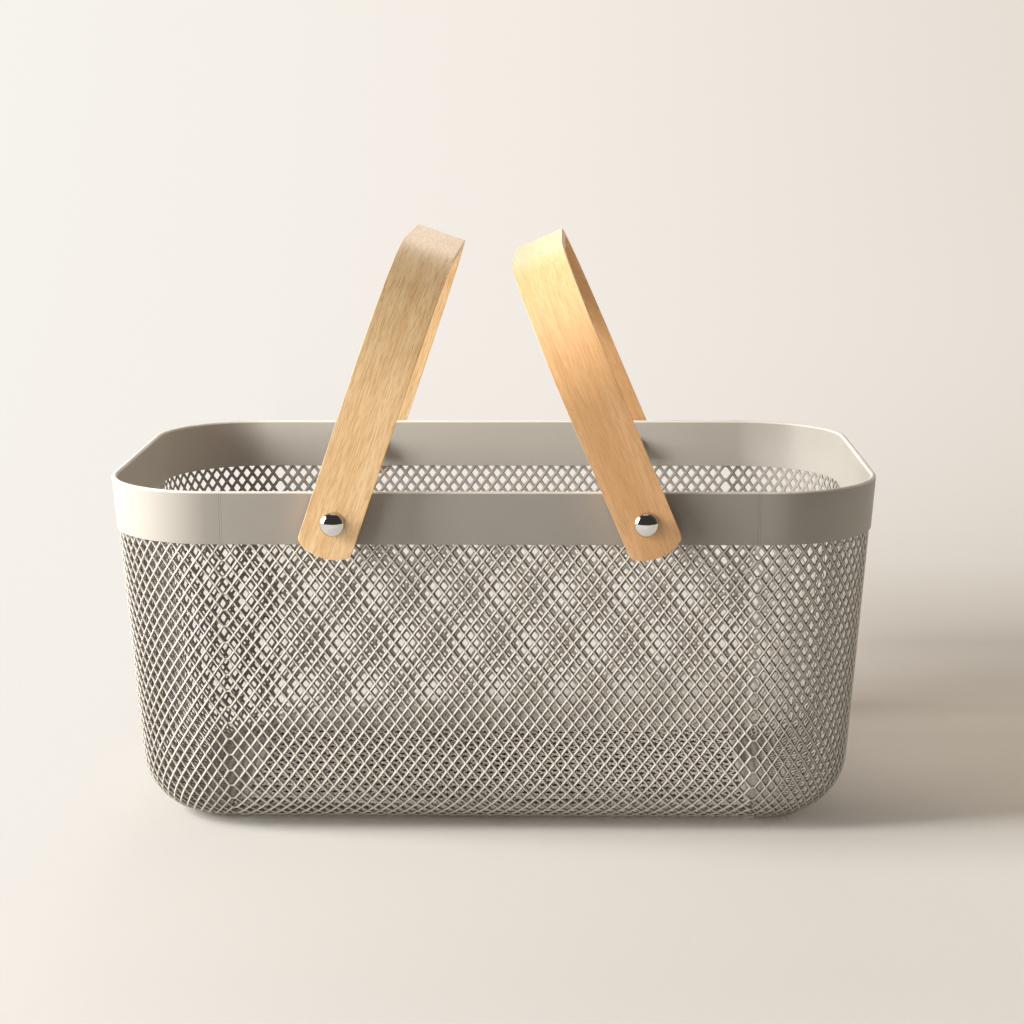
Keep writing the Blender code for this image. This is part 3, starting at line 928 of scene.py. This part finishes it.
# Pivot hardware, turned about lines along Y. Each piece takes its place from its own CAD node.
turned = {
    "steps": 48,
    "domeSteps": 12,
    "skirt": 0.8 * mm,
    "shank": 2.5 * mm,
    "nutBore": 2.8 * mm,
    "nutBoreDepth": 4.5 * mm,
    "nutSkirt": 2.0 * mm,
    "chamfer": 0.2 * mm,
    "headRadius": 6.1 * mm,
    "headHeight": 4.0 * mm,
    "creaseAngle": math.radians(38),
}


def domeProfile(radius, height, skirt):
    # From the skirt's foot to the crown: (radius, height) along a flattened round.
    rise = height - skirt
    ball = (radius * radius + rise * rise) / (2 * rise)
    reach = math.asin(min(radius / ball, 1))
    steps = turned["domeSteps"]
    arc = [reach * (1 - k / steps) for k in range(steps)]
    points = [(ball * math.sin(a), height - ball + ball * math.cos(a)) for a in arc]
    soft = turned["chamfer"]
    return [(radius - soft, 0), (radius, soft), (radius, skirt - soft / 2)] + points[1:] + [(0, height)]


def turnPiece(name, node, profile, slot):
    # Profile runs from the axis at the foot, out, and back to the axis or its own start, as (radius, height).
    low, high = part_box(node)
    outward = -1 if (low.y + high.y) < 0 else 1
    x = (low.x + high.x) / 2
    z = (low.z + high.z) / 2
    nearest, farthest = sorted((abs(low.y), abs(high.y)))
    if "nut" in node:
        base, way = farthest * outward, -outward
    elif "screw" in node:
        base, way = (farthest - turned["headHeight"]) * outward, outward
    else:
        base, way = nearest * outward, outward
    places = []
    rings = []
    steps = turned["steps"]
    for radius, height in profile:
        if radius == 0:
            rings.append([len(places)] * steps)
            places.append((x, base + way * height, z))
            continue
        rings.append(list(range(len(places), len(places) + steps)))
        for k in range(steps):
            a = 2 * math.pi * k / steps
            places.append((x + radius * math.cos(a), base + way * height, z + radius * math.sin(a)))
    closed = profile[0][0] != 0
    faces = []
    for near, far in zip(rings, rings[1:] + (rings[:1] if closed else [])):
        for k in range(steps):
            n = (k + 1) % steps
            corners = [near[k], far[k], far[n], near[n]]
            face = tuple(c for i, c in enumerate(corners) if c not in corners[:i])
            if len(face) > 2:
                faces.append(face if way > 0 else face[::-1])
    piece = newPiece(name, places, faces, smallFinish[slot], "basket", node)
    piece.data.set_sharp_from_angle(angle=turned["creaseAngle"])


def screwProfile(node):
    low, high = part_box(node)
    length = (high.y - low.y) - turned["headHeight"]
    shank = turned["shank"]
    soft = turned["chamfer"]
    dome = domeProfile(turned["headRadius"], turned["headHeight"], turned["skirt"])
    return [(0, -length), (shank - soft, -length), (shank, soft - length), (shank, 0)] + dome


def nutProfile(node):
    low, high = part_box(node)
    radius = (high.x - low.x) / 2
    height = high.y - low.y
    bore = turned["nutBore"]
    depth = turned["nutBoreDepth"]
    return [(0, depth), (bore, depth), (bore, 0)] + domeProfile(radius, height, turned["nutSkirt"])


def ringProfile(node):
    low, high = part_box(node)
    radius = (high.x - low.x) / 2
    height = high.y - low.y
    bore = turned["nutBore"]
    soft = turned["chamfer"]
    return [(bore, soft), (bore + soft, 0), (radius - soft, 0), (radius, soft),
            (radius, height - soft), (radius - soft, height), (bore + soft, height), (bore, height - soft)]


for side in ("left_front", "left_back", "right_front", "right_back"):
    turnPiece(side + "_dome_screw", side + "_screw", screwProfile(side + "_screw"), "chrome")
    turnPiece(side + "_cap_nut", side + "_nut", nutProfile(side + "_nut"), "chrome")
    turnPiece(side + "_flat_washer", side + "_washer", ringProfile(side + "_washer"), "zinc")
    turnPiece(side + "_ring_spacer", side + "_spacer", ringProfile(side + "_spacer"), "nylon")
print("pivots turned")

# Floor and backdrop, one pale sweep.
sweep = {
    "front": -6.0,
    "bendStart": 0.55,
    "bendRadius": 0.9,
    "top": 2.6,
    "halfWidth": 6.0,
    "steps": 24,
    # The floor's colour is painted shade: darker on the left, where the key lamp lights it most, than on the
    # right.
    "floorLeft": (0.435, 0.420, 0.399),
    "floorRight": (0.665, 0.625, 0.580),
    "floorTurn": (-0.45, 0.55),        # from the left floor to the right one, along X
    # Painted shadow on the floor on the right, from beside the basket to well behind it:
    # darker stops widen and soften the basket's cast shadow; a lighter stop fills the back band's shadow
    # streak.
    "floorPaintedShadow": [(0.07, (0.645, 0.580, 0.505)), (0.24, (0.63, 0.565, 0.49)),
                    (0.345, (0.70, 0.625, 0.545)), (0.415, (0.53, 0.475, 0.415)),
                    (0.555, (0.38, 0.340, 0.295)), (0.73, (0.46, 0.415, 0.365)),
                    (0.93, (0.56, 0.515, 0.465))],
    "besideFrom": -0.1,
    "besideTo": 0.6,
    "besideX": (0.05, 0.30),
    "besideY": (-0.10, -0.04),
    "roughness": 0.9,
    "specular": 0.2,
    # Where the lit floor gives way to the even backdrop: behind the basket, before it and on each side.
    "fadeBack": (0.0, 1.1),
    "fadeFront": (0.28, 0.60),
    "fadeLeft": (0.17, 0.25),
    "fadeRight": (0.75, 1.25),
    # The backdrop glows for the camera, lighter on the left than on the right: a painted falloff of light.
    "backdrop": [(0.0, (0.93, 0.905, 0.85)), (0.5, (0.90, 0.84, 0.775)),
                 (1.0, (0.78, 0.72, 0.645))],
    "backdropHalf": 0.62,
}


def makePaper(look):
    material, shader = newFinish("sweepPaper")
    x = shader.node("SeparateXYZ", None, {0: objectPlace(shader)}, "X")
    y = x.output("Y")
    # Painted shade: the floor's colour darker on the left than on the right.
    colour = mixColour(shader, x.within(*look["floorTurn"]), look["floorLeft"], look["floorRight"])
    behind = (y - look["besideFrom"]) / (look["besideTo"] - look["besideFrom"])
    # Painted shadow on the floor beside and behind the basket.
    beside = shader.node("ValToRGB", {"stops": look["floorPaintedShadow"]}, {"Fac": behind})
    inPaintedShadow = x.within(*look["besideX"]) * y.within(*look["besideY"])
    colour = mixColour(shader, inPaintedShadow, colour, beside)
    inputs = {"Base Color": colour, "Roughness": look["roughness"], "Specular IOR Level": look["specular"]}
    paper = shader.node("BsdfPrincipled", None, inputs)
    # The camera sees a glow, painted lighter on the left and darker on the right.
    across = (x + look["backdropHalf"]) / (2 * look["backdropHalf"])
    even = shader.node("ValToRGB", {"stops": look["backdrop"]}, {"Fac": across})
    glow = shader.node("Emission", None, {"Color": even, "Strength": 1.0})
    path = shader.node("LightPath", None, None, "Is Camera Ray")
    seen = path.most(path.output("Is Glossy Ray")).most(path.output("Is Transmission Ray"))
    far = y.within(*look["fadeBack"]).most((0 - y).within(*look["fadeFront"]))
    far = far.most((0 - x).within(*look["fadeLeft"])).most(x.within(*look["fadeRight"]))
    closeFinish(shader, shader.node("MixShader", None, {0: far * seen, 1: paper, 2: glow}))
    return material


def makeSweep(look):
    radius = look["bendRadius"]
    run = [(look["front"], 0.0), (look["bendStart"], 0.0)]
    for k in range(1, look["steps"] + 1):
        a = math.pi / 2 * k / look["steps"]
        run.append((look["bendStart"] + radius * math.sin(a), radius - radius * math.cos(a)))
    run.append((look["bendStart"] + radius, look["top"]))
    places = [(x, y, z) for y, z in run for x in (-look["halfWidth"], look["halfWidth"])]
    faces = [(2 * k, 2 * k + 1, 2 * k + 3, 2 * k + 2) for k in range(len(run) - 1)]
    mesh = bpy.data.meshes.new("paleSweep")
    mesh.from_pydata(places, [], faces)
    mesh.materials.append(makePaper(look))
    mesh.shade_smooth()
    ground = bpy.data.objects.new("paleSweep", mesh)
    bpy.context.scene.collection.objects.link(ground)


makeSweep(sweep)
print("sweep laid")

# Light: a large soft lamp on the left, weak ones in front, above, behind and at the right, and a little all
# round. The front and right lamps don't show in the chrome.
lamps = {
    "key": {"place": (-1.70, -0.33, 0.87), "aim": (0, 0, 0.1), "size": (0.77, 1.30), "power": 97.0,
            "colour": (1.0, 0.99, 0.965)},
    "front": {"place": (-0.62, -0.55, 0.22), "aim": (-0.1, 0, 0.1), "size": (0.30, 0.30), "power": 2.1,
              "colour": (1.0, 0.97, 0.93), "mirrored": False},
    "top": {"place": (0, 0, 1.6), "aim": (0, 0, 0.1), "size": (0.83, 0.83), "power": 1.2,
            "colour": (1.0, 0.95, 0.86)},
    "back": {"place": (0, 1.07, 0.85), "aim": (0, 0, 0.1), "size": (0.72, 0.72), "power": 2.8,
             "colour": (1.0, 0.95, 0.86)},
    "right": {"place": (1.10, -0.10, 0.45), "aim": (0, 0, 0.1), "size": (0.80, 0.80), "power": 3.6,
              "colour": (1.0, 0.95, 0.86), "mirrored": False},
}
worldLook = {
    "colour": (1.0, 0.93, 0.83),
    "behindCamera": 0.045,
    "elsewhere": 0.25,
    "aheadTurn": (-0.35, 0.75),        # from behind the camera to elsewhere, by direction along Y
    "sideTurn": (-0.1, 0.1),           # from the backdrop's left colour to its right one, along X
}


def makeLamp(name, look):
    data = bpy.data.lights.new(name, "AREA")
    data.shape = "RECTANGLE"
    data.size, data.size_y = look["size"]
    data.energy = look["power"]
    data.color = look["colour"]
    lamp = bpy.data.objects.new(name, data)
    lamp.location = look["place"]
    lamp.visible_glossy = look.get("mirrored", True)
    lamp.rotation_euler = (Vector(look["aim"]) - lamp.location).to_track_quat("-Z", "Y").to_euler()
    bpy.context.scene.collection.objects.link(lamp)


def makeWorld(look):
    world = bpy.data.worlds.new("studioAir")
    world.use_nodes = True
    world.node_tree.nodes.clear()
    shader = Wire(world.node_tree)
    toward = shader.node("TexCoord", None, None, "Generated")
    y = shader.node("SeparateXYZ", None, {0: toward}, "Y")
    more = look["elsewhere"] - look["behindCamera"]
    strength = look["behindCamera"] + y.within(*look["aheadTurn"]) * more
    # Past the stage the camera sees the backdrop's own colours.
    left, right = sweep["backdrop"][0][1], sweep["backdrop"][-1][1]
    beyond = mixColour(shader, y.output("X").within(*look["sideTurn"]), left, right)
    seen = shader.node("LightPath", None, None, "Is Camera Ray")
    colour = mixColour(shader, seen, look["colour"], beyond)
    air = shader.node("Background", None, {"Color": colour, "Strength": strength + seen * (1 - strength)})
    shader.node("OutputWorld", None, {"Surface": air})
    bpy.context.scene.world = world


for name, look in lamps.items():
    makeLamp(name, look)
makeWorld(worldLook)
bpy.context.scene.view_settings.view_transform = "Standard"
print("stage lit")
